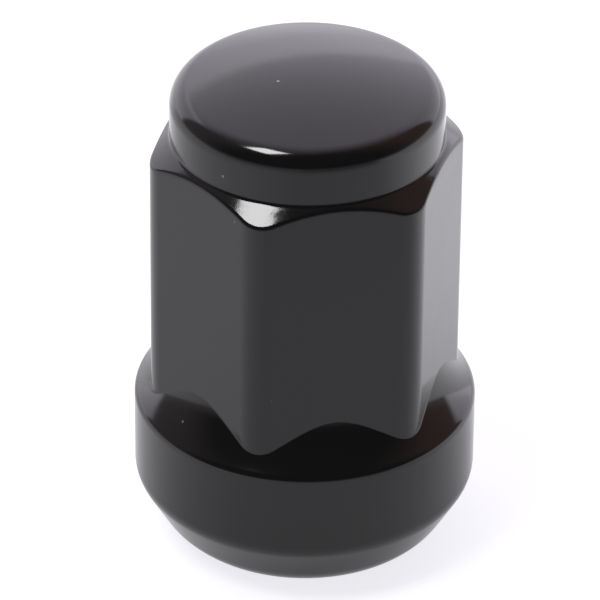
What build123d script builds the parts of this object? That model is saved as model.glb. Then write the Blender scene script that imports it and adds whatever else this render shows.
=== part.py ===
from build123d import *
import os
from math import cos, radians, sin, sqrt, tan

# A closed-end acorn lug nut for a car wheel, formed from steel in one piece.
# It stands on the small end of its seat cone at z = 0, with its axis on Z and two flats facing -Y and +Y.
# Going up: seat cone, round bulge, hollow shoulder, hexagon, corner chamfers, collar and dome.
# Lengths are in millimetres and angles in degrees.

# Whole nut
HEIGHT = 35.3  # end face to the top of the dome

# Hexagon
HEX_ACROSS_FLATS = 19.0  # takes a 19 mm socket
HEX_CORNER_ROUND = 2.3  # radius of the six upright corners
HEX_CHAMFER_SLOPE = 40.0  # fall of the chamfer at the top of the corners, below level

# Collar and dome
CAP_HEIGHT = 4.9  # top of the dome down to the foot of the collar
COLLAR_STEP = 0.33  # the flats stand this far outside the collar
DOME_RADIUS = 30.0  # ball that crowns the top
DOME_EDGE_ROUND = 1.6  # edge between the dome and the collar

# Bulge and shoulder
BULGE_OVERHANG = 1.0  # the bulge stands this far outside the hexagon's corners
BULGE_RIM_HEIGHT = 10.4  # end face up to the upper rim of the bulge
BULGE_RIM_ROUND = 0.8
SHOULDER_HOLLOW = 7.2  # radius of the hollow sweep from the rim up to the hexagon
SHOULDER_RIM_SLOPE = 41.2  # rise of the sweep where its line meets the bulge, above level
SHOULDER_ROOT_FILLET = 0.4  # hollow where flats and corners run out into the shoulder

# Seat
SEAT_ANGLE = 60.0  # full angle of the cone that centres the nut in the wheel
SEAT_HEIGHT = 4.4  # end face up to where the cone's line meets the bulge
SEAT_NOSE_ROUND = 3.4  # edge between the end face and the cone
SEAT_TOP_ROUND = 2.0  # edge between the cone and the bulge

# Blind stud hole, bored to the thread's minor diameter
THREAD_MAJOR = 12.0
THREAD_PITCH = 1.5
THREAD_DEPTH_PER_PITCH = 1.0825  # both sides of an internal metric thread, for a pitch of 1
MOUTH_CLEARANCE = 0.5  # the countersunk mouth is this much wider than the thread
MOUTH_ANGLE = 90.0  # full angle of the countersink
DRILL_POINT_ANGLE = 118.0  # full angle of the hole's blind end
END_WALL = 5.0  # steel between the drill point and the top of the dome

# Seam of the turned seat, bulge and shoulder
SEAM_TURN = 15.0  # from a corner of the hexagon, half of the way to the middle of a flat

# Worked out for the hexagon, the bulge and the seat
flat_radius = HEX_ACROSS_FLATS / 2
corner_radius = (flat_radius - HEX_CORNER_ROUND) / cos(radians(30)) + HEX_CORNER_ROUND
bulge_radius = corner_radius + BULGE_OVERHANG
bulge_middle_height = (SEAT_HEIGHT + BULGE_RIM_HEIGHT) / 2
seat_end_radius = bulge_radius - SEAT_HEIGHT * tan(radians(SEAT_ANGLE / 2))

# Worked out for the shoulder: the rim's round touches the bulge and the hollow sweep
sweep_centre_radius = bulge_radius + SHOULDER_HOLLOW * sin(radians(SHOULDER_RIM_SLOPE))
sweep_centre_height = BULGE_RIM_HEIGHT + SHOULDER_HOLLOW * cos(radians(SHOULDER_RIM_SLOPE))
rim_centre_radius = bulge_radius - BULGE_RIM_ROUND
rim_to_sweep = SHOULDER_HOLLOW + BULGE_RIM_ROUND
rim_centre_height = sweep_centre_height - sqrt(rim_to_sweep**2 - (sweep_centre_radius - rim_centre_radius) ** 2)
rim_share = BULGE_RIM_ROUND / rim_to_sweep
rim_top_radius = rim_centre_radius + rim_share * (sweep_centre_radius - rim_centre_radius)
rim_top_height = rim_centre_height + rim_share * (sweep_centre_height - rim_centre_height)

# Worked out for the collar and the dome: the edge round touches the dome's ball from inside
collar_radius = flat_radius - COLLAR_STEP
collar_foot_height = HEIGHT - CAP_HEIGHT
ball_height = HEIGHT - DOME_RADIUS
ball_to_edge = DOME_RADIUS - DOME_EDGE_ROUND
edge_centre_radius = collar_radius - DOME_EDGE_ROUND
edge_centre_rise = sqrt(ball_to_edge**2 - edge_centre_radius**2)
dome_foot_radius = edge_centre_radius * DOME_RADIUS / ball_to_edge
dome_foot_height = ball_height + edge_centre_rise * DOME_RADIUS / ball_to_edge

# Worked out for the stud hole
bore_radius = (THREAD_MAJOR - THREAD_DEPTH_PER_PITCH * THREAD_PITCH) / 2
mouth_radius = (THREAD_MAJOR + MOUTH_CLEARANCE) / 2
mouth_depth = (mouth_radius - bore_radius) / tan(radians(MOUTH_ANGLE / 2))
bore_tip_height = HEIGHT - END_WALL
bore_wall_height = bore_tip_height - bore_radius / tan(radians(DRILL_POINT_ANGLE / 2))


def shoulder_height(radius):
    """Height of the shoulder's sweep at a distance from the axis."""
    return sweep_centre_height - sqrt(SHOULDER_HOLLOW**2 - (sweep_centre_radius - radius) ** 2)


def chamfer_height(radius):
    """Height of the corner chamfer's cone at a distance from the axis."""
    return collar_foot_height - (radius - collar_radius) * tan(radians(HEX_CHAMFER_SLOPE))


def turned(outline):
    """Solid of revolution about Z of a closed outline drawn as (distance from the axis, height)."""
    return revolve(Plane.XZ * make_face(outline), Axis.Z)


def seat_and_bulge():
    """Seat cone, bulge and shoulder, closed off inside the hexagon, with their seam clear of the corners."""
    shoulder_top = (sweep_centre_radius - SHOULDER_HOLLOW, sweep_centre_height)
    rim_foot = (bulge_radius, rim_centre_height)
    rim_top = (rim_top_radius, rim_top_height)
    seat = FilletPolyline(
        (0, 0),
        (seat_end_radius, 0),
        (bulge_radius, SEAT_HEIGHT),
        rim_foot,
        radius=[SEAT_NOSE_ROUND, SEAT_TOP_ROUND],
    )
    rim = RadiusArc(rim_foot, rim_top, -BULGE_RIM_ROUND)
    sweep = RadiusArc(rim_top, shoulder_top, SHOULDER_HOLLOW)
    inside = Polyline(shoulder_top, (0, sweep_centre_height), (0, 0))
    return Rot(0, 0, SEAM_TURN) * turned(seat + rim + sweep + inside)


def hexagon_bar():
    """Hexagonal bar with rounded corners, from inside the bulge to the full height."""
    section = RegularPolygon(radius=flat_radius, side_count=6, major_radius=False)
    section = fillet(section.vertices(), HEX_CORNER_ROUND)
    return Pos(0, 0, bulge_middle_height) * extrude(section, HEIGHT - bulge_middle_height)


def head_turning():
    """Round form that the bar is turned to: corner chamfer, collar and edge round, flat where the dome sits."""
    collar_top = (collar_radius, ball_height + edge_centre_rise)
    dome_foot = (dome_foot_radius, dome_foot_height)
    sides = Polyline(
        dome_foot,
        (0, dome_foot_height),
        (0, 0),
        (bulge_radius, 0),
        (bulge_radius, chamfer_height(bulge_radius)),
        (collar_radius, collar_foot_height),
        collar_top,
    )
    return turned(sides + RadiusArc(collar_top, dome_foot, -DOME_EDGE_ROUND))


def dome():
    """Shallow cap of a ball that crowns the top."""
    ball = Pos(0, 0, ball_height) * Rot(0, 90, 0) * Sphere(DOME_RADIUS)
    return split(ball, Plane.XY.offset(dome_foot_height), keep=Keep.TOP)


def stud_hole():
    """Space of the blind hole, with its countersunk mouth and drill point."""
    outline = Polyline(
        (0, 0),
        (mouth_radius, 0),
        (bore_radius, mouth_depth),
        (bore_radius, bore_wall_height),
        (0, bore_tip_height),
        close=True,
    )
    return turned(outline)


def lug_nut():
    """The whole nut: round and hexagonal forms joined, the run-outs softened, the hole bored and the dome set on."""
    nut = seat_and_bulge() + (hexagon_bar() & head_turning())
    slack = 0.02
    lowest = shoulder_height(corner_radius) - slack
    highest = shoulder_height(flat_radius) + slack
    run_outs = nut.edges().filter_by_position(Axis.Z, lowest, highest)
    return fillet(run_outs, SHOULDER_ROOT_FILLET) - stud_hole() + dome()


os.makedirs("parts", exist_ok=True)
export_step(lug_nut(), "parts/lug_nut.step")
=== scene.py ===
"""Closed-end acorn lug nut with a gloss black coat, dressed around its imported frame.

The nut stands on the small end of its seat cone with its axis on Z and two flats facing -Y and +Y.
Sizes in the classes are millimetres and degrees, as a maker would give them. Meshes are written in metres.
"""
import logging
from dataclasses import dataclass, field
from enum import IntEnum
from math import atan2, cos, pi, radians, sin, sqrt, tan
from typing import NamedTuple

import bpy
import numpy as np
from mathutils import Matrix, Vector


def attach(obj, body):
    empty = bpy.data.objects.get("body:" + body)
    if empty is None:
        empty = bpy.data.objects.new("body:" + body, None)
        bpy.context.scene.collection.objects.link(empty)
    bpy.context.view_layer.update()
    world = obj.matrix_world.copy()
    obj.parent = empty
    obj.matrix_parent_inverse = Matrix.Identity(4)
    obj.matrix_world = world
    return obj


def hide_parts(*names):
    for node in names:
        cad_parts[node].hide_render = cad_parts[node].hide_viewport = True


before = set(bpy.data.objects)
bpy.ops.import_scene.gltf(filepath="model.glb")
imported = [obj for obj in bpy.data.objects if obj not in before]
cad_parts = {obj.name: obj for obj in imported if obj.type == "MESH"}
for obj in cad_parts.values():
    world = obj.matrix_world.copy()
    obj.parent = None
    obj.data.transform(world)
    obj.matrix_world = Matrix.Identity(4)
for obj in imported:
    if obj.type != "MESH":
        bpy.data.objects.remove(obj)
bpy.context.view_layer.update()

LOG = logging.getLogger("lug_nut")
METRES = 0.001
HEX_SIDES = 6
SECTOR = 2.0 * pi / HEX_SIDES
MOUTH_RADIUS = 6.25
COAT_IOR = 1.5
PHOTO_AZIMUTH = -12.321
AIM = (0.0, 0.0, 0.0175)

Colour = tuple[float, float, float]
Value = float | Colour | bpy.types.NodeSocket


class Surface(IntEnum):
    """Material slots of the nut's mesh."""

    COAT = 0
    THREAD = 1


class Bend(NamedTuple):
    """Round or hollow at a profile's corner, with the intervals of its arc and of the run before it."""

    radius: float
    arc_steps: int
    run_steps: int


def eased(start: np.ndarray, end: np.ndarray, steps: int) -> np.ndarray:
    """Points inside a straight run, set closer towards both ends.

    The share along the run is (1 - cos(pi k / steps)) / 2 for k from 1 to steps - 1.

    Args:
        start: First ends of the runs, shaped (columns, 2).
        end: Second ends of the runs, shaped (columns, 2).
        steps: Number of intervals in each run.

    Returns:
        The points between the ends, shaped (columns, steps - 1, 2).
    """
    share = 0.5 - 0.5 * np.cos(pi * np.arange(1, steps) / steps)
    return start[:, None, :] + share[None, :, None] * (end - start)[:, None, :]


def rounded_corner(
    before: np.ndarray, corner: np.ndarray, after: np.ndarray, radius: float, steps: int
) -> np.ndarray:
    """Arc that touches both sides of a profile's corner.

    The tangent points lie radius x tan(turn / 2) from the corner. From the first of them the arc is
    centre + radius x (forward x sin(a) - side x cos(a)), where a runs from zero to the turn.

    Args:
        before: Points before the corner, shaped (columns, 2).
        corner: The corners themselves, shaped (columns, 2).
        after: Points after the corner, shaped (columns, 2).
        radius: Radius of the round or hollow.
        steps: Number of intervals along the arc.

    Returns:
        The arcs' points, ends among them, shaped (columns, steps + 1, 2).
    """
    forward = corner - before
    forward = forward / np.linalg.norm(forward, axis=-1, keepdims=True)
    leaving = after - corner
    leaving = leaving / np.linalg.norm(leaving, axis=-1, keepdims=True)
    crossing = forward[:, 0] * leaving[:, 1] - forward[:, 1] * leaving[:, 0]
    turn = np.arctan2(crossing, np.sum(forward * leaving, axis=-1))
    side = np.stack([-forward[:, 1], forward[:, 0]], axis=-1) * np.sign(turn)[:, None]
    tangent = radius * np.tan(np.abs(turn) / 2.0)
    centre = corner - forward * tangent[:, None] + side * radius
    angle = np.abs(turn)[:, None, None] * np.linspace(0.0, 1.0, steps + 1)[None, :, None]
    off_centre = forward[:, None, :] * np.sin(angle) - side[:, None, :] * np.cos(angle)
    return centre[:, None, :] + radius * off_centre


def arc(centre: np.ndarray, radius: float, start: np.ndarray, end: np.ndarray, steps: int) -> np.ndarray:
    """Points along a circle in the half-section.

    The point at angle a is centre + radius x (cos(a), sin(a)), with a from start to end.

    Args:
        centre: The circles' centres, shaped (columns, 2).
        radius: The circles' radius.
        start: Angle of the first point in each column, shaped (columns,).
        end: Angle of the last point in each column, shaped (columns,).
        steps: Number of intervals along the arc.

    Returns:
        The points, ends among them, shaped (columns, steps + 1, 2).
    """
    angle = start[:, None] + (end - start)[:, None] * np.linspace(0.0, 1.0, steps + 1)[None, :]
    return centre[:, None, :] + radius * np.stack([np.cos(angle), np.sin(angle)], axis=-1)


@dataclass(frozen=True)
class Hexagon:
    """Section of the nut's drive: a hexagon with rounded corners, one corner on +X."""

    across_flats: float = 19.0
    corner_round: float = 2.3
    corner_steps: int = 12
    flat_steps: int = 16

    @property
    def flat_radius(self) -> float:
        """Distance from the axis to a flat."""
        return self.across_flats / 2.0

    @property
    def round_centre(self) -> float:
        """Distance from the axis to the centre of a corner's round."""
        return (self.flat_radius - self.corner_round) / cos(SECTOR / 2.0)

    @property
    def corner_radius(self) -> float:
        """Distance from the axis to the tip of a rounded corner."""
        return self.round_centre + self.corner_round

    @property
    def round_reach(self) -> float:
        """Angle at the axis from a corner to the end of its round."""
        half = SECTOR / 2.0
        return atan2(self.corner_round * sin(half), self.round_centre + self.corner_round * cos(half))

    def columns(self) -> np.ndarray:
        """Angles of the mesh's columns, even round each corner and closer towards the ends of each flat.

        Returns:
            Angles from +X for one full turn, shaped (columns,).
        """
        lean = np.linspace(-SECTOR / 2.0, SECTOR / 2.0, self.corner_steps + 1)
        across = self.corner_round * np.sin(lean)
        corner = np.arctan2(across, self.round_centre + self.corner_round * np.cos(lean))
        half_flat = self.flat_radius * tan(SECTOR / 2.0 - self.round_reach)
        share = -np.cos(pi * np.arange(1, self.flat_steps) / self.flat_steps)
        flat = SECTOR / 2.0 + np.arctan(half_flat * share / self.flat_radius)
        sector = np.concatenate([corner, flat])
        return (sector[None, :] + SECTOR * np.arange(HEX_SIDES)[:, None]).ravel()

    def radius(self, turn: np.ndarray) -> np.ndarray:
        """Distance from the axis to the hexagon's outline.

        With d the angle from the nearest corner, the round gives c cos(d) + sqrt(r^2 - c^2 sin(d)^2) and the
        flat gives flat radius / cos(30 degrees - d).

        Args:
            turn: Angles from +X.

        Returns:
            Distances of the same shape.
        """
        off_corner = np.abs(turn - SECTOR * np.round(turn / SECTOR))
        reach = np.minimum(off_corner, self.round_reach)
        inside = self.corner_round**2 - (self.round_centre * np.sin(reach)) ** 2
        on_round = self.round_centre * np.cos(reach) + np.sqrt(inside)
        on_flat = self.flat_radius / np.cos(SECTOR / 2.0 - off_corner)
        return np.where(off_corner < self.round_reach, on_round, on_flat)


@dataclass(frozen=True)
class Outside:
    """Outer form of the nut, from the countersunk mouth over seat, bulge, hexagon and collar to the dome."""

    hexagon: Hexagon = field(default_factory=Hexagon)
    height: float = 35.3
    mouth_radius: float = MOUTH_RADIUS
    mouth_round: float = 0.15
    seat_angle: float = 60.0
    seat_height: float = 4.4
    seat_nose_round: float = 3.4
    seat_top_round: float = 2.0
    bulge_overhang: float = 1.0
    bulge_rim_height: float = 10.4
    bulge_rim_round: float = 0.8
    shoulder_hollow: float = 7.2
    shoulder_rim_slope: float = 41.2
    shoulder_root_hollow: float = 0.4
    chamfer_slope: float = 40.0
    chamfer_edge_round: float = 0.45
    cap_height: float = 4.9
    collar_step: float = 0.33
    collar_foot_hollow: float = 0.35
    dome_radius: float = 30.0
    dome_edge_round: float = 1.6
    rim_steps: int = 12
    sweep_steps: int = 14
    root_steps: int = 10
    dome_edge_steps: int = 18
    dome_steps: int = 24

    @property
    def bulge_radius(self) -> float:
        """Distance from the axis to the bulge."""
        return self.hexagon.corner_radius + self.bulge_overhang

    @property
    def collar_radius(self) -> float:
        """Distance from the axis to the collar."""
        return self.hexagon.flat_radius - self.collar_step

    @property
    def collar_foot(self) -> float:
        """Height of the collar's foot."""
        return self.height - self.cap_height

    @property
    def ball_height(self) -> float:
        """Height of the centre of the dome's ball."""
        return self.height - self.dome_radius

    @property
    def edge_centre(self) -> tuple[float, float]:
        """Distance from the axis and height of the centre of the dome's edge round."""
        off_axis = self.collar_radius - self.dome_edge_round
        rise = sqrt((self.dome_radius - self.dome_edge_round) ** 2 - off_axis**2)
        return off_axis, self.ball_height + rise

    def rows(self, turn: np.ndarray) -> np.ndarray:
        """Half-section at each angle with every edge rounded, up to but not on the dome's top.

        Args:
            turn: Angles of the mesh's columns.

        Returns:
            Points as (distance from the axis, height), shaped (columns, rows, 2).
        """
        side = self.hexagon.radius(turn)
        shoulder = self.shoulder(side)
        foot = self.foot(len(turn), shoulder[:, 0])
        head = self.head(side, shoulder[:, -1])
        cap = np.broadcast_to(self.cap(), (len(turn), *self.cap().shape))
        return np.concatenate([foot, shoulder, head, cap], axis=1)

    def foot(self, count: int, rim_foot: np.ndarray) -> np.ndarray:
        """Mouth's lip, end ring, seat cone and the bulge's wall.

        Args:
            count: Number of columns.
            rim_foot: Where the wall ends, shaped (columns, 2).

        Returns:
            Points up to but not at the wall's end, shaped (columns, rows, 2).
        """
        seat_end = self.bulge_radius - self.seat_height * tan(radians(self.seat_angle / 2.0))
        lead = StudHole.lead_depth
        drawn = [
            (self.mouth_radius - lead, lead),
            (self.mouth_radius, 0.0),
            (seat_end, 0.0),
            (self.bulge_radius, self.seat_height),
        ]
        corners = [np.tile(np.array(corner), (count, 1)) for corner in drawn] + [rim_foot]
        bends = [
            Bend(self.mouth_round, arc_steps=4, run_steps=3),
            Bend(self.seat_nose_round, arc_steps=16, run_steps=6),
            Bend(self.seat_top_round, arc_steps=10, run_steps=8),
        ]
        return self.rounded(corners, bends, last_steps=10)

    def shoulder(self, side: np.ndarray) -> np.ndarray:
        """Rim round, hollow sweep and the hollow at the hexagon's root.

        The rim's circle touches the wall and the sweep from inside the metal. The root's circle touches the
        sweep and the hexagon from outside, so its height comes from the side's distance in each column.

        Args:
            side: Distance from the axis to the hexagon in each column.

        Returns:
            Points from the bulge's wall to the hexagon, shaped (columns, rows, 2).
        """
        slope = radians(self.shoulder_rim_slope)
        sweep_r = self.bulge_radius + self.shoulder_hollow * sin(slope)
        sweep_z = self.bulge_rim_height + self.shoulder_hollow * cos(slope)
        rim_r = self.bulge_radius - self.bulge_rim_round
        reach = self.shoulder_hollow + self.bulge_rim_round
        rim_z = sweep_z - sqrt(reach**2 - (sweep_r - rim_r) ** 2)
        root_r = side + self.shoulder_root_hollow
        reach = self.shoulder_hollow - self.shoulder_root_hollow
        root_z = sweep_z - np.sqrt(reach**2 - (sweep_r - root_r) ** 2)
        level = np.zeros_like(side)
        lean = level + atan2(sweep_z - rim_z, sweep_r - rim_r)
        meet = np.arctan2(sweep_z - root_z, sweep_r - root_r) + pi
        rim_centre = np.stack([level + rim_r, level + rim_z], axis=-1)
        rim = arc(rim_centre, self.bulge_rim_round, level, lean, self.rim_steps)
        sweep_centre = np.stack([level + sweep_r, level + sweep_z], axis=-1)
        sweep = arc(sweep_centre, self.shoulder_hollow, lean + pi, meet, self.sweep_steps)
        root_centre = np.stack([root_r, root_z], axis=-1)
        root = arc(root_centre, self.shoulder_root_hollow, meet, level + pi, self.root_steps)
        return np.concatenate([rim, sweep[:, 1:-1], root], axis=1)

    def head(self, side: np.ndarray, root: np.ndarray) -> np.ndarray:
        """Flats, chamfer and collar.

        The chamfer's cone meets the hexagon higher or lower as its outline comes and goes.

        Args:
            side: Distance from the axis to the hexagon in each column.
            root: Where the flats start, shaped (columns, 2).

        Returns:
            Points after the root and up to but not at the collar's top, shaped (columns, rows, 2).
        """
        level = np.zeros_like(side)
        edge = self.collar_foot - (side - self.collar_radius) * tan(radians(self.chamfer_slope))
        corners = [
            root,
            np.stack([side, edge], axis=-1),
            np.stack([level + self.collar_radius, level + self.collar_foot], axis=-1),
            np.stack([level + self.collar_radius, level + self.edge_centre[1]], axis=-1),
        ]
        bends = [
            Bend(self.chamfer_edge_round, arc_steps=6, run_steps=22),
            Bend(self.collar_foot_hollow, arc_steps=6, run_steps=8),
        ]
        return self.rounded(corners, bends, last_steps=8)[:, 1:]

    @staticmethod
    def rounded(corners: list[np.ndarray], bends: list[Bend], last_steps: int) -> np.ndarray:
        """Straight runs between corners, with an arc at each inner corner.

        Args:
            corners: Corners in order, each shaped (columns, 2).
            bends: Round or hollow of each inner corner.
            last_steps: Intervals of the last run.

        Returns:
            Points from the first corner up to but not at the last, shaped (columns, rows, 2).
        """
        parts = [corners[0][:, None, :]]
        for bend, before, corner, after in zip(bends, corners, corners[1:], corners[2:]):
            curve = rounded_corner(before, corner, after, bend.radius, bend.arc_steps)
            parts += [eased(parts[-1][:, -1], curve[:, 0], bend.run_steps), curve]
        parts.append(eased(parts[-1][:, -1], corners[-1], last_steps))
        return np.concatenate(parts, axis=1)

    def cap(self) -> np.ndarray:
        """Edge round and dome of the half-section.

        The round goes about its centre from level to where it touches the ball, and the dome follows the ball
        from there towards the top.

        Returns:
            Points as (distance from the axis, height), shaped (rows, 2).
        """
        off_axis, centre_height = self.edge_centre
        touch = atan2(centre_height - self.ball_height, off_axis)
        edge_turn = np.linspace(0.0, touch, self.dome_edge_steps + 1)
        dome_turn = np.linspace(touch, pi / 2.0, self.dome_steps + 1)[1:-1]
        edge_r = off_axis + self.dome_edge_round * np.cos(edge_turn)
        edge_z = centre_height + self.dome_edge_round * np.sin(edge_turn)
        dome_r = self.dome_radius * np.cos(dome_turn)
        dome_z = self.ball_height + self.dome_radius * np.sin(dome_turn)
        return np.stack([np.concatenate([edge_r, dome_r]), np.concatenate([edge_z, dome_z])], axis=-1)


@dataclass(frozen=True)
class StudHole:
    """Blind hole with a right-hand metric thread, a countersunk mouth and a drill point."""

    thread_radius: float = 6.0
    thread_pitch: float = 1.5
    bore_radius: float = 5.188125
    mouth_radius: float = MOUTH_RADIUS
    lead_depth: float = 0.25
    thread_full_height: float = 22.0
    thread_end_height: float = 24.6
    drill_point_angle: float = 118.0
    tip_height: float = 30.3
    rows_per_pitch: int = 16
    plain_steps: int = 3
    point_steps: int = 8
    crest_share: float = 0.25
    root_share: float = 0.125

    @property
    def wall_height(self) -> float:
        """Height where the plain wall meets the drill point."""
        return self.tip_height - self.bore_radius / tan(radians(self.drill_point_angle / 2.0))

    def groove(self, turn: np.ndarray, height: np.ndarray) -> np.ndarray:
        """Depth of the thread's groove as a share of its full depth.

        The groove repeats with height / pitch - turn / full circle, so it climbs to the right. Across one
        pitch it is a flat crest, a straight flank, a flat root and a flank back.

        Args:
            turn: Angles from +X.
            height: Heights above the end face.

        Returns:
            Shares from 0 on the crest to 1 at the root.
        """
        phase = height / self.thread_pitch - turn / (2.0 * pi)
        off_crest = np.abs(2.0 * (phase - np.floor(phase)) - 1.0)
        flank = 1.0 - self.crest_share - self.root_share
        return np.clip((off_crest - self.crest_share) / flank, 0.0, 1.0)

    def rows(self, turn: np.ndarray) -> np.ndarray:
        """Half-section of the hole at each angle, from below its tip down to the countersink.

        The wall is the wider of the countersink's cone and the thread, whose groove fades out towards the
        blind end.

        Args:
            turn: Angles of the mesh's columns.

        Returns:
            Points as (distance from the axis, height), shaped (columns, rows, 2).
        """
        share = np.arange(1, self.point_steps + 1) / self.point_steps
        point_z = self.tip_height + share * (self.wall_height - self.tip_height)
        plain_z = np.linspace(self.wall_height, self.thread_end_height, self.plain_steps + 1)[1:]
        threaded = self.thread_end_height - self.lead_depth
        thread_rows = int(round(threaded / self.thread_pitch * self.rows_per_pitch))
        thread_z = np.linspace(self.thread_end_height, self.lead_depth, thread_rows + 1)[1:-1]
        wall_z = np.concatenate([plain_z, thread_z])
        run_out = (self.thread_end_height - wall_z) / (self.thread_end_height - self.thread_full_height)
        depth = (self.thread_radius - self.bore_radius) * np.clip(run_out, 0.0, 1.0)
        cut = self.bore_radius + depth[None, :] * self.groove(turn[:, None], wall_z[None, :])
        wall_r = np.maximum(cut, self.mouth_radius - wall_z[None, :])
        point_r = np.broadcast_to(share * self.bore_radius, (len(turn), self.point_steps))
        radius = np.concatenate([point_r, wall_r], axis=1)
        height = np.broadcast_to(np.concatenate([point_z, wall_z]), radius.shape)
        return np.stack([radius, height], axis=-1)


class Sketch:
    """Lays nodes into a tree and links them."""

    def __init__(self, tree: bpy.types.NodeTree) -> None:
        """Starts on a tree, emptied of its default nodes.

        Args:
            tree: Node tree of a material, a world or a group.
        """
        self.tree = tree
        tree.nodes.clear()

    def feed(self, socket: bpy.types.NodeSocket, value: Value) -> None:
        """Links a socket's source, or sets its constant.

        Args:
            socket: Input to feed.
            value: Another node's output, a number or a colour.
        """
        if isinstance(value, bpy.types.NodeSocket):
            self.tree.links.new(value, socket)
        elif isinstance(value, tuple) and socket.type == "RGBA":
            socket.default_value = (*value, 1.0)
        else:
            socket.default_value = value

    def node(
        self, kind: str, inputs: dict[str | int, Value] | None = None, **settings: object
    ) -> bpy.types.Node:
        """Adds one node.

        Args:
            kind: Blender's name of the node type.
            inputs: Values or sources by input name or index.
            settings: Properties of the node.

        Returns:
            The new node.
        """
        made = self.tree.nodes.new(kind)
        for name, setting in settings.items():
            setattr(made, name, setting)
        for name, value in (inputs or {}).items():
            self.feed(made.inputs[name], value)
        return made

    def math(self, operation: str, first: Value, second: Value = 0.0) -> bpy.types.NodeSocket:
        """Adds a math node and returns its result."""
        return self.node("ShaderNodeMath", {0: first, 1: second}, operation=operation).outputs[0]

    def ease(
        self, value: Value, low: Value, high: Value, start: float = 0.0, end: float = 1.0
    ) -> bpy.types.NodeSocket:
        """Turns a value smoothly from start to end as it goes from low to high.

        Args:
            value: Source of the value.
            low: Value that gives the start.
            high: Value that gives the end.
            start: Result up to low.
            end: Result from high on.

        Returns:
            The smooth step's output.
        """
        inputs = {"Value": value, "From Min": low, "From Max": high, "To Min": start, "To Max": end}
        return self.node("ShaderNodeMapRange", inputs, interpolation_type="SMOOTHSTEP").outputs["Result"]

    def blend(self, share: Value, first: Value, second: Value) -> bpy.types.NodeSocket:
        """Mixes two colours.

        Args:
            share: Share of the second colour.
            first: Colour at share 0.
            second: Colour at share 1.

        Returns:
            The mixed colour's output.
        """
        made = self.node("ShaderNodeMix", data_type="RGBA")
        by_name = {socket.identifier: socket for socket in made.inputs}
        self.feed(by_name["Factor_Float"], share)
        self.feed(by_name["A_Color"], first)
        self.feed(by_name["B_Color"], second)
        return next(socket for socket in made.outputs if socket.identifier == "Result_Color")

    def along(self, vector: bpy.types.NodeSocket, direction: Colour) -> bpy.types.NodeSocket:
        """Part of a vector that lies along a fixed direction."""
        made = self.node("ShaderNodeVectorMath", {0: vector, 1: direction}, operation="DOT_PRODUCT")
        return made.outputs["Value"]


class CoatTexture:
    """Shared unevenness of a sprayed and baked coat: orange peel, mottling and caught dust."""

    NAME = "coat_texture"
    INPUTS = {"Peel Scale": 420.0, "Dust Scale": 420.0, "Dust Share": 0.25}
    OUTPUTS = ("Peel", "Mottle", "Dust")
    PEEL_DETAIL = 1.5
    MOTTLE_SCALE = 130.0
    MOTTLE_DETAIL = 4.0
    NOISE_LOW = 0.3
    NOISE_HIGH = 0.7
    SPECK_CORE = 0.03
    SPECK_RIM = 0.06

    def group(self) -> bpy.types.NodeTree:
        """Builds the node group once and returns it from then on.

        Peel is soft noise, Mottle is broad noise, and Dust marks the middles of a few Voronoi cells.

        Returns:
            The group's node tree.
        """
        found = bpy.data.node_groups.get(self.NAME)
        if found:
            return found
        tree = bpy.data.node_groups.new(self.NAME, "ShaderNodeTree")
        for name, value in self.INPUTS.items():
            given = tree.interface.new_socket(name, in_out="INPUT", socket_type="NodeSocketFloat")
            given.default_value = value
        for name in self.OUTPUTS:
            tree.interface.new_socket(name, in_out="OUTPUT", socket_type="NodeSocketFloat")
        sketch = Sketch(tree)
        given = sketch.node("NodeGroupInput").outputs
        place = sketch.node("ShaderNodeTexCoord").outputs["Object"]
        inputs = {"Vector": place, "Scale": given["Peel Scale"], "Detail": self.PEEL_DETAIL}
        peel = sketch.node("ShaderNodeTexNoise", inputs)
        inputs = {"Vector": place, "Scale": self.MOTTLE_SCALE, "Detail": self.MOTTLE_DETAIL}
        mottle = sketch.node("ShaderNodeTexNoise", inputs)
        cells = sketch.node("ShaderNodeTexVoronoi", {"Vector": place, "Scale": given["Dust Scale"]})
        lot = sketch.along(cells.outputs["Color"], (1.0, 0.0, 0.0))
        chosen = sketch.math("LESS_THAN", lot, given["Dust Share"])
        middle = sketch.ease(cells.outputs["Distance"], self.SPECK_CORE, self.SPECK_RIM, 1.0, 0.0)
        dust = sketch.math("MULTIPLY", chosen, middle)
        made = {"Peel": peel.outputs["Fac"], "Mottle": mottle.outputs["Fac"], "Dust": dust}
        sketch.node("NodeGroupOutput", made)
        return tree


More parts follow.
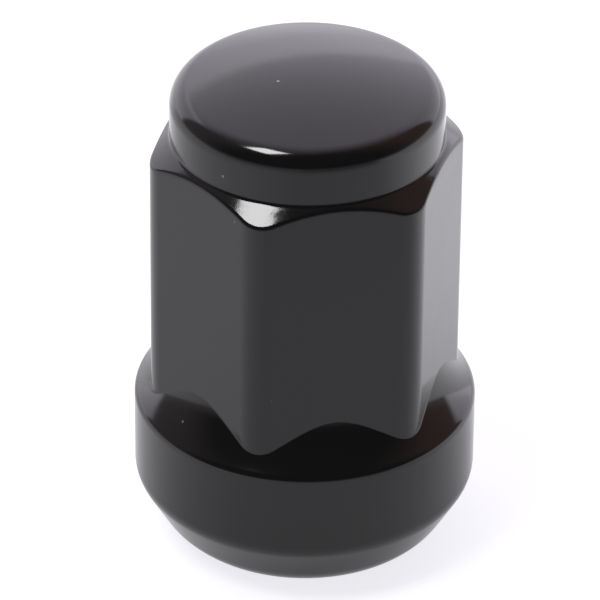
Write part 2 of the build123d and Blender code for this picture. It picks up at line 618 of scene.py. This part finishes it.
@dataclass(frozen=True)
class GlossBlackCoat:
    """Smooth gloss black coat on steel, with the turned marks of the chamfer showing through."""

    name: str = "gloss_black_coat"
    black: Colour = (0.003, 0.0028, 0.003)
    dust: Colour = (0.3, 0.29, 0.29)
    gloss_low: float = 0.09
    gloss_high: float = 0.13
    peel_height: float = 6.0e-6
    mark_height: float = 5.0e-6
    mark_scale: float = 1900.0
    mark_detail: float = 3.0
    mark_fade: float = 0.25 * METRES
    chamfer_bottom: float = 28.6 * METRES
    chamfer_top: float = 30.4 * METRES
    chamfer_inner: float = 9.25 * METRES

    def build(self) -> bpy.types.Material:
        """Makes the coat's material.

        Returns:
            Material for the outside of the nut.
        """
        material = bpy.data.materials.new(self.name)
        material.use_nodes = True
        sketch = Sketch(material.node_tree)
        texture = sketch.node("ShaderNodeGroup", node_tree=CoatTexture().group()).outputs
        colour = sketch.blend(texture["Dust"], self.black, self.dust)
        noise = (CoatTexture.NOISE_LOW, CoatTexture.NOISE_HIGH)
        gloss = sketch.ease(texture["Mottle"], *noise, self.gloss_low, self.gloss_high)
        bump = {"Height": texture["Peel"], "Strength": 1.0, "Distance": self.peel_height}
        peel = sketch.node("ShaderNodeBump", bump).outputs["Normal"]
        bump = {"Height": self.marks(sketch), "Strength": 1.0, "Distance": self.mark_height, "Normal": peel}
        marked = sketch.node("ShaderNodeBump", bump).outputs["Normal"]
        inputs = {"Base Color": colour, "Roughness": gloss, "Metallic": 0.0, "Normal": marked}
        shader = sketch.node("ShaderNodeBsdfPrincipled", inputs | {"IOR": COAT_IOR})
        sketch.node("ShaderNodeOutputMaterial", {"Surface": shader.outputs["BSDF"]})
        return material

    def marks(self, sketch: Sketch) -> bpy.types.NodeSocket:
        """Uneven turned surface that shows on the chamfer alone.

        Args:
            sketch: The material's nodes.

        Returns:
            Height of the marks, zero away from the chamfer.
        """
        place = sketch.node("ShaderNodeTexCoord").outputs["Object"]
        flat = sketch.node("ShaderNodeVectorMath", {0: place, 1: (1.0, 1.0, 0.0)}, operation="MULTIPLY")
        length = sketch.node("ShaderNodeVectorMath", {0: flat.outputs[0]}, operation="LENGTH")
        off_axis = length.outputs["Value"]
        height = sketch.along(place, (0.0, 0.0, 1.0))
        above = sketch.ease(height, self.chamfer_bottom, self.chamfer_bottom + self.mark_fade)
        below = sketch.ease(height, self.chamfer_top - self.mark_fade, self.chamfer_top, 1.0, 0.0)
        outer = sketch.ease(off_axis, self.chamfer_inner, self.chamfer_inner + self.mark_fade)
        band = sketch.math("MULTIPLY", sketch.math("MULTIPLY", above, below), outer)
        inputs = {"Vector": place, "Scale": self.mark_scale, "Detail": self.mark_detail}
        grain = sketch.node("ShaderNodeTexNoise", inputs)
        return sketch.math("MULTIPLY", band, grain.outputs["Fac"])


@dataclass(frozen=True)
class ThreadCoat:
    """Thin, duller black in the stud hole, with bare steel showing through in places."""

    name: str = "thread_coat"
    black: Colour = (0.012, 0.011, 0.011)
    steel: Colour = (0.2, 0.19, 0.18)
    dull_low: float = 0.32
    dull_high: float = 0.5
    bare_low: float = 0.55
    bare_high: float = 0.7
    peel_scale: float = 1600.0
    peel_height: float = 8.0e-6

    def build(self) -> bpy.types.Material:
        """Makes the stud hole's material.

        Returns:
            Material for the thread, the drill point and the countersink.
        """
        material = bpy.data.materials.new(self.name)
        material.use_nodes = True
        sketch = Sketch(material.node_tree)
        group = sketch.node("ShaderNodeGroup", node_tree=CoatTexture().group())
        sketch.feed(group.inputs["Peel Scale"], self.peel_scale)
        texture = group.outputs
        bare = sketch.ease(texture["Mottle"], self.bare_low, self.bare_high)
        colour = sketch.blend(bare, self.black, self.steel)
        noise = (CoatTexture.NOISE_LOW, CoatTexture.NOISE_HIGH)
        dull = sketch.ease(texture["Peel"], *noise, self.dull_low, self.dull_high)
        bump = {"Height": texture["Peel"], "Strength": 1.0, "Distance": self.peel_height}
        peel = sketch.node("ShaderNodeBump", bump).outputs["Normal"]
        inputs = {"Base Color": colour, "Roughness": dull, "Metallic": bare, "Normal": peel, "IOR": COAT_IOR}
        shader = sketch.node("ShaderNodeBsdfPrincipled", inputs)
        sketch.node("ShaderNodeOutputMaterial", {"Surface": shader.outputs["BSDF"]})
        return material


@dataclass
class LugNut:
    """The whole nut as one closed skin: the hole's rows, then the outside's rows, round all columns."""

    outside: Outside = field(default_factory=Outside)
    hole: StudHole = field(default_factory=StudHole)
    coat: GlossBlackCoat = field(default_factory=GlossBlackCoat)
    thread_coat: ThreadCoat = field(default_factory=ThreadCoat)
    name: str = "lug_nut_skin"
    node: str = "lug_nut"
    slot: str = "black_coat"

    def build(self) -> bpy.types.Object:
        """Builds, dresses and places the nut.

        Returns:
            The nut's object, which stands for the CAD node.
        """
        piece = bpy.data.objects.new(self.name, self.mesh())
        bpy.context.scene.collection.objects.link(piece)
        piece.data.materials.append(self.coat.build())
        piece.data.materials.append(self.thread_coat.build())
        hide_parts(self.node)
        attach(piece, "root")
        return piece

    def mesh(self) -> bpy.types.Mesh:
        """Carries the half-section round the axis and closes it at the drill point's tip and the dome's top.

        A point at distance r, height z and angle t is (r cos(t), r sin(t), z).

        Returns:
            A closed mesh with smooth faces that point outwards.
        """
        turn = self.outside.hexagon.columns()
        hole = self.hole.rows(turn)
        section = np.concatenate([hole, self.outside.rows(turn)], axis=1)
        count, rows = section.shape[:2]
        ring_x = section[..., 0] * np.cos(turn)[:, None]
        ring_y = section[..., 0] * np.sin(turn)[:, None]
        body = np.stack([ring_x, ring_y, section[..., 1]], axis=-1).reshape(-1, 3)
        poles = np.array([[0.0, 0.0, self.hole.tip_height], [0.0, 0.0, self.outside.height]])
        points = np.concatenate([body, poles]) * METRES
        index = np.arange(count * rows).reshape(count, rows)
        beside = np.roll(index, -1, axis=0)
        quads = np.stack([index[:, :-1], beside[:, :-1], beside[:, 1:], index[:, 1:]], axis=-1).reshape(-1, 4)
        tip = np.full(count, count * rows)
        tip_fan = np.stack([tip, beside[:, 0], index[:, 0]], axis=-1)
        top_fan = np.stack([index[:, -1], beside[:, -1], tip + 1], axis=-1)
        in_hole = np.broadcast_to(np.arange(rows - 1) < hole.shape[1], (count, rows - 1)).ravel()
        surface = np.where(in_hole, Surface.THREAD, Surface.COAT)
        surface = np.concatenate([surface, np.full(count, Surface.THREAD), np.full(count, Surface.COAT)])
        mesh = bpy.data.meshes.new(self.name)
        mesh.from_pydata(points, [], [*quads.tolist(), *tip_fan.tolist(), *top_fan.tolist()])
        mesh.polygons.foreach_set("material_index", surface.astype(np.int32))
        mesh.polygons.foreach_set("use_smooth", np.ones(len(surface), dtype=bool))
        mesh.update()
        return mesh


@dataclass
class PhotoCamera:
    """Camera at the photograph's viewing angle."""

    azimuth: float = PHOTO_AZIMUTH
    elevation: float = 32.858
    roll: float = 0.598
    distance: float = 0.375
    target: tuple[float, float, float] = AIM
    pixels_per_mm: float = 14.809
    off_centre: tuple[float, float] = (5.746, 3.296)
    frame_pixels: float = 600.0
    sensor: float = 36.0

    def toward(self) -> Vector:
        """Direction from the nut to the camera."""
        level = cos(radians(self.elevation))
        side = radians(self.azimuth)
        return Vector((sin(side) * level, -cos(side) * level, sin(radians(self.elevation))))

    def build(self) -> bpy.types.Object:
        """Makes the scene's camera.

        Returns:
            The camera's object.
        """
        data = bpy.data.cameras.new("photo_camera")
        data.sensor_width = self.sensor
        data.lens = self.pixels_per_mm * self.distance / METRES * self.sensor / self.frame_pixels
        data.shift_x = -self.off_centre[0] / self.frame_pixels
        data.shift_y = -self.off_centre[1] / self.frame_pixels
        back = self.toward()
        right = Vector((0.0, 0.0, 1.0)).cross(back).normalized()
        up = back.cross(right)
        lean = radians(self.roll)
        axes = (right * cos(lean) + up * sin(lean), up * cos(lean) - right * sin(lean), back)
        turn = Matrix(axes).transposed().to_4x4()
        camera = bpy.data.objects.new("photo_camera", data)
        camera.matrix_world = Matrix.Translation(Vector(self.target) + back * self.distance) @ turn
        bpy.context.scene.collection.objects.link(camera)
        bpy.context.scene.camera = camera
        return camera


@dataclass(frozen=True)
class Softbox:
    """One soft lamp, placed by its direction from the nut."""

    name: str
    azimuth: float
    elevation: float
    distance: float
    width: float
    length: float
    watts: float

    def build(self, aim: Vector) -> bpy.types.Object:
        """Makes the lamp, facing the nut.

        Args:
            aim: Point that the lamp faces.

        Returns:
            The lamp's object.
        """
        data = bpy.data.lights.new(self.name, "AREA")
        data.shape = "RECTANGLE"
        data.size = self.width
        data.size_y = self.length
        data.energy = self.watts
        level = cos(radians(self.elevation))
        side = radians(self.azimuth)
        toward = Vector((sin(side) * level, -cos(side) * level, sin(radians(self.elevation))))
        lamp = bpy.data.objects.new(self.name, data)
        lamp.location = aim + toward * self.distance
        lamp.rotation_euler = toward.to_track_quat("Z", "Y").to_euler()
        bpy.context.scene.collection.objects.link(lamp)
        return lamp


@dataclass
class Studio:
    """White table with a soft glow, a lit backdrop behind the nut, a dim room around it, and one lamp."""

    facing: float = PHOTO_AZIMUTH
    floor_size: float = 6.0
    floor_white: Colour = (0.34, 0.34, 0.34)
    floor_light: Colour = (0.95, 0.95, 1.0)
    table_glow: float = 0.84
    near_glow: float = 0.56
    far_glow: float = 0.1
    back_glow: float = 0.55
    left_glow: float = 0.16
    backdrop_low: Colour = (1.84, 1.74, 1.94)
    backdrop_high: Colour = (1.31, 1.21, 1.4)
    backdrop_strip: Colour = (2.12, 2.02, 2.23)
    strip_lean: float = 0.45
    strip_low: float = 0.15
    strip_high: float = 0.355
    strip_edge: float = 0.06
    backdrop_half_width: float = 61.0
    horizon: Colour = (0.45, 0.42, 0.42)
    room: Colour = (0.11, 0.102, 0.106)
    room_left: Colour = (0.34, 0.31, 0.32)
    room_right: Colour = (0.38, 0.26, 0.23)
    front_reach: float = 0.25
    back_reach: float = 0.05
    left_start: float = 0.005
    left_reach: float = 0.05
    glow_back_share: float = 0.8
    glow_right_share: float = 0.6
    edge_crisp: float = 0.05
    edge_soft: float = 0.45
    soft_from: float = 0.5
    soft_to: float = 0.95
    backdrop_fade: float = 0.9
    sides_blend: float = 0.2
    room_from: float = -0.45
    room_to: float = 0.15
    horizon_rise: float = 0.14
    lamps: tuple[Softbox, ...] = (
        Softbox("top_softbox", -71.5, 65.5, distance=1.2, width=0.36, length=0.38, watts=7.2),
    )

    @property
    def behind(self) -> Colour:
        """Level direction from the camera's side to behind the nut."""
        side = radians(self.facing)
        return -sin(side), cos(side), 0.0

    @property
    def right(self) -> Colour:
        """Level direction to the right as the camera sees it."""
        side = radians(self.facing)
        return cos(side), sin(side), 0.0

    def build(self) -> None:
        """Makes the floor, the surroundings and the lamps."""
        self.floor()
        self.surroundings()
        for lamp in self.lamps:
            lamp.build(Vector(AIM))
        bpy.context.scene.view_settings.view_transform = "Standard"

    def floor(self) -> None:
        """Lays the white table top that the nut stands on, open to view from below."""
        half = self.floor_size / 2.0
        corners = np.array([[-half, -half, 0.0], [half, -half, 0.0], [half, half, 0.0], [-half, half, 0.0]])
        mesh = bpy.data.meshes.new("studio_floor")
        mesh.from_pydata(corners, [], [[0, 1, 2, 3]])
        table = bpy.data.objects.new("studio_floor", mesh)
        bpy.context.scene.collection.objects.link(table)
        material = bpy.data.materials.new("studio_white")
        material.use_nodes = True
        sketch = Sketch(material.node_tree)
        matt = sketch.node("ShaderNodeBsdfDiffuse", {"Color": self.floor_white})
        glow = sketch.node("ShaderNodeEmission", {"Color": self.floor_light, "Strength": self.glow(sketch)})
        lit = sketch.node("ShaderNodeAddShader", {0: matt.outputs["BSDF"], 1: glow.outputs["Emission"]})
        clear = sketch.node("ShaderNodeBsdfTransparent")
        below = sketch.node("ShaderNodeNewGeometry").outputs["Backfacing"]
        parts = {0: below, 1: lit.outputs["Shader"], 2: clear.outputs["BSDF"]}
        shader = sketch.node("ShaderNodeMixShader", parts)
        sketch.node("ShaderNodeOutputMaterial", {"Surface": shader.outputs["Shader"]})
        mesh.materials.append(material)

    def glow(self, sketch: Sketch) -> bpy.types.NodeSocket:
        """Light of the table itself, which fades towards the camera's side and grows towards the backdrop.

        Args:
            sketch: The floor material's nodes.

        Returns:
            Strength of the glow for the camera and for the coat's reflections, and none for other light.
        """
        place = sketch.node("ShaderNodeTexCoord").outputs["Object"]
        behind = sketch.along(place, self.behind)
        front = sketch.ease(behind, -self.front_reach, 0.0, self.far_glow, self.near_glow)
        back_part = [self.glow_back_share * part for part in self.behind]
        right_part = [self.glow_right_share * part for part in self.right]
        corner = tuple(first + second for first, second in zip(back_part, right_part))
        back = sketch.ease(sketch.along(place, corner), 0.0, self.back_reach, 0.0, self.back_glow)
        leftward = tuple(-part for part in self.right)
        beside = sketch.along(place, leftward)
        left = sketch.ease(beside, self.left_start, self.left_reach, 0.0, self.left_glow)
        mirrored = sketch.math("ADD", sketch.math("ADD", front, back), left)
        path = sketch.node("ShaderNodeLightPath").outputs
        bounce = sketch.math("MAXIMUM", path["Is Glossy Ray"], path["Is Transmission Ray"])
        shown = sketch.math("MULTIPLY", path["Is Camera Ray"], self.table_glow)
        return sketch.math("MAXIMUM", shown, sketch.math("MULTIPLY", bounce, mirrored))

    def surroundings(self) -> None:
        """Gives the world its backdrop and dim room, and plain white behind the nut for the camera."""
        world = bpy.data.worlds.new("studio_room")
        world.use_nodes = True
        bpy.context.scene.world = world
        sketch = Sketch(world.node_tree)
        ray = sketch.node("ShaderNodeTexCoord").outputs["Generated"]
        lit = sketch.node("ShaderNodeBackground", {"Color": self.light(sketch, ray), "Strength": 1.0})
        plain = sketch.node("ShaderNodeBackground", {"Color": (1.0, 1.0, 1.0), "Strength": 1.0})
        camera_ray = sketch.node("ShaderNodeLightPath").outputs["Is Camera Ray"]
        parts = {0: camera_ray, 1: lit.outputs["Background"], 2: plain.outputs["Background"]}
        both = sketch.node("ShaderNodeMixShader", parts)
        sketch.node("ShaderNodeOutputWorld", {"Surface": both.outputs["Shader"]})

    def light(self, sketch: Sketch, ray: bpy.types.NodeSocket) -> bpy.types.NodeSocket:
        """Colour of the surroundings in each direction.

        The backdrop spans the same angle to both sides, with edges that are crisp near the table and soft
        overhead, and a lighter strip leans across it. The rest is the room, dimmest behind the camera.

        Args:
            sketch: The world's nodes.
            ray: Direction of the ray.

        Returns:
            The colour's output.
        """
        behind = sketch.along(ray, self.behind)
        across = sketch.along(ray, self.right)
        up = sketch.along(ray, (0.0, 0.0, 1.0))
        slope = 1.0 / tan(radians(self.backdrop_half_width))
        sideways = sketch.math("MULTIPLY", sketch.math("ABSOLUTE", across), slope)
        inside = sketch.math("SUBTRACT", behind, sideways)
        soft = sketch.ease(up, self.soft_from, self.soft_to, self.edge_crisp, self.edge_soft)
        white = sketch.ease(inside, sketch.math("MULTIPLY", soft, -1.0), soft)
        height = sketch.ease(up, 0.0, self.backdrop_fade)
        backdrop = sketch.blend(height, self.backdrop_low, self.backdrop_high)
        level = sketch.math("ADD", up, sketch.math("MULTIPLY", across, self.strip_lean))
        rise = sketch.ease(level, self.strip_low, self.strip_high)
        fall = sketch.ease(level, self.strip_high, self.strip_high + self.strip_edge, 1.0, 0.0)
        backdrop = sketch.blend(sketch.math("MULTIPLY", rise, fall), backdrop, self.backdrop_strip)
        rightward = sketch.ease(across, -self.sides_blend, self.sides_blend)
        sides = sketch.blend(rightward, self.room_left, self.room_right)
        room = sketch.blend(sketch.ease(behind, self.room_from, self.room_to), self.room, sides)
        room = sketch.blend(sketch.ease(up, 0.0, self.horizon_rise), self.horizon, room)
        return sketch.blend(white, room, backdrop)


def main() -> None:
    """Builds the camera, the nut and the studio, and logs the camera's distance and the nut's face count."""
    logging.basicConfig(level=logging.INFO, format="%(name)s: %(message)s")
    camera = PhotoCamera().build()
    LOG.info("camera %s at %.3f m", camera.name, camera.location.length)
    nut = LugNut().build()
    LOG.info("piece %s with %d faces", nut.name, len(nut.data.polygons))
    Studio().build()


if __name__ == "__main__":
    main()
